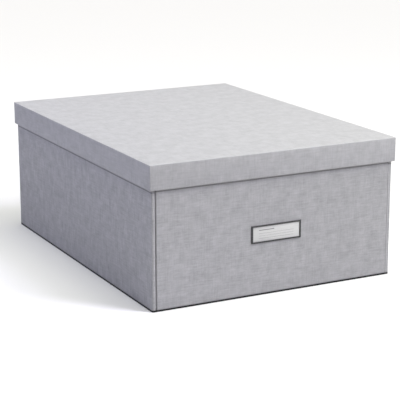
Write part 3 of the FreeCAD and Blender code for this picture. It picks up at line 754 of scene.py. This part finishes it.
holder = {"shade": (0.075, 0.075, 0.08), "tarnish": (0.05, 0.05, 0.05), "roughness": 0.42, "metallic": 0.7,
          "sheet": 0.5 * mm, "lip": 2.0 * mm, "roll": 0.28 * mm, "cardRoom": 0.2 * mm, "edge": 0.22 * mm,
          "cornerRound": 0.6 * mm, "sharpest": 40, "smooth": 35}
prong = {"wide": 4 * mm, "lift": 6 * mm, "root": 0.3 * mm, "clinch": 4.5 * mm, "tipRound": 1.4 * mm,
         "edge": 0.12 * mm}


def makeProng(height, wall, inner, outward):
    # the right prong: through the wall, and bent over inside, away from the card
    low = Vector((outward - holder["sheet"], wall - prong["root"], height - prong["wide"] / 2))
    high = Vector((outward, inner, height + prong["wide"] / 2))
    bend = inner - holder["sheet"]
    tip = outward + prong["clinch"]
    piece = addBox("prong", low, high)
    cutAt((0, bend, 0), (0, 1, 0))
    choose("FACE", lambda face: facing(0, 1)(face) and face.calc_center_median().y > bend)
    pullOut((prong["clinch"], 0, 0))
    choose("EDGE", lambda edge: all(near(p.x, tip) for p in ends(edge))
           and not near(ends(edge)[0].y, ends(edge)[1].y))
    roundOff(prong["tipRound"], 5)
    bpy.ops.object.mode_set(mode="OBJECT")
    softenEdges(piece, prong["edge"], 2, holder["sharpest"])
    return piece


def makeHolder():
    # the pressed label holder: a lipped bezel open at the top, and four prongs bent over inside
    low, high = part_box("label_frame")
    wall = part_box("front_cover")[0].y
    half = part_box("label_card")[1].x + holder["sheet"] + holder["cardRoom"]
    piece = addBox("label_holder", Vector((-half, low.y, low.z)), Vector((half, wall, high.z)))
    choose("FACE", lambda face: facing(1, 1)(face) or facing(2, 1)(face))
    bpy.ops.mesh.delete(type="FACE")
    choose("FACE", facing(1, -1))
    bpy.ops.mesh.inset(thickness=holder["lip"], use_even_offset=True, use_boundary=True)
    pullOut((0, holder["roll"], 0))
    bpy.ops.mesh.delete(type="FACE")
    choose("EDGE", lambda edge: all(near(abs(p.x), half) and near(p.z, low.z) for p in ends(edge)))
    roundOff(holder["cornerRound"], 4)
    bpy.ops.object.mode_set(mode="OBJECT")
    modify(piece, "SOLIDIFY", thickness=holder["sheet"], offset=-1.0, use_even_offset=True)
    softenEdges(piece, holder["edge"], 3, holder["sharpest"])
    model = makeProng((low.z + high.z) / 2, wall, high.y, half)
    prongs = []
    for left in (True, False):
        for lift in (-prong["lift"], prong["lift"]):
            made = copyPiece(model, "prong")
            mirror(made, left, False)
            made.data.transform(Matrix.Translation((0, 0, lift)))
            prongs.append(made)
    bpy.data.objects.remove(model)
    pick(piece, *prongs)
    bpy.ops.object.join()
    finishPiece(piece, makePlated("dark_nickel", holder), "box", ["label_frame"],
                holder["smooth"])


def makeCard():
    low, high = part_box("label_card")
    piece = addBox("label_insert", low, high)
    choose("EDGE", lambda edge: not near(ends(edge)[0].y, ends(edge)[1].y))
    roundOff(card["round"], 5)
    bpy.ops.object.mode_set(mode="OBJECT")
    softenEdges(piece, card["edge"], 2, card["sharpest"])
    finishPiece(piece, makeCardPaper(low, high), "card", ["label_card"])


def paintFrame(nickel):
    # the CAD nodes that keep their shape get their finish, by the ends of their names
    finishes = {("board", "panel", "rim"): makeBoard(), ("liner",): makeSmoothPaper("liner_paper", smooth),
                ("studs", "posts", "sockets"): nickel, ("tapes",): makeSmoothPaper("kraft_tape", tape)}
    for nameEnds, material in finishes.items():
        for name, node in frame["nodes"].items():
            if name.endswith(nameEnds):
                node.data.materials.clear()
                node.data.materials.append(material)


def makeGround(name, height, colour):
    bpy.ops.object.select_all(action="DESELECT")
    bpy.ops.mesh.primitive_plane_add(size=studio["floorSize"], location=(0, 0, height))
    ground = bpy.context.object
    ground.name = name
    bpy.ops.object.transform_apply(location=True, rotation=True, scale=True)
    matt = {"Roughness": 1.0, "Specular IOR Level": 0.0, "Base Color": shade(colour)}
    ground.data.materials.append(newMaterial(name, matt)[0])
    return ground


def makeStudio():
    # the floor that shows, and just under it the one that throws light back up at the box
    floor = makeGround("floor", 0, studio["floorShade"])
    floor.visible_diffuse = floor.visible_shadow = False
    makeGround("bounce_floor", -studio["bounceDrop"], studio["bounceShade"]).visible_camera = False
    world = bpy.data.worlds.new("studio")
    bpy.context.scene.world = world
    world.use_nodes = True
    world.node_tree.nodes["Background"].inputs["Color"].default_value = shade(studio["backdrop"])
    world.cycles_visibility.diffuse = False
    for name, (kind, place, power, spread, tint) in lamps.items():
        bpy.ops.object.light_add(type=kind, location=place)
        lamp = bpy.context.object
        lamp.name = name
        lamp.data.energy = power
        lamp.data.color = tint
        if kind == "SUN":
            lamp.data.angle = math.radians(spread)
            aim = Vector(place)
        else:
            lamp.data.shape = "DISK"
            lamp.data.size = spread
            aim = Vector(place) - lampAim
        lamp.rotation_euler = aim.to_track_quat("Z", "Y").to_euler()


def makeCamera():
    bpy.ops.object.camera_add(location=camera["place"])
    made = bpy.context.object
    aim = Euler((math.radians(90 - camera["tilt"]), 0, math.radians(-camera["turn"]))).to_matrix()
    made.rotation_euler = (aim @ Matrix.Rotation(math.radians(camera["roll"]), 3, "Z")).to_euler()
    made.data.sensor_width = camera["sensor"]
    made.data.lens = camera["lens"]
    made.data.clip_end = camera["farthest"]
    bpy.context.scene.camera = made


bpy.context.scene.view_settings.view_transform = "Standard"
makeCamera()
makeStudio()
print("studio and camera ready")

nickel = makePlated("nickel", plated)
paintFrame(nickel)
print("boards, liners and snaps painted")

makeLidWrap()
print("lid wrapped")

coverSides()
papers = coverFrontAndBack()
makeFoot()
print("walls and base covered")

coverFlaps(papers)
makeCaps(nickel)
print("flaps covered and snapped")

makeHolder()
makeCard()
print("label fitted")

bpy.context.view_layer.update()
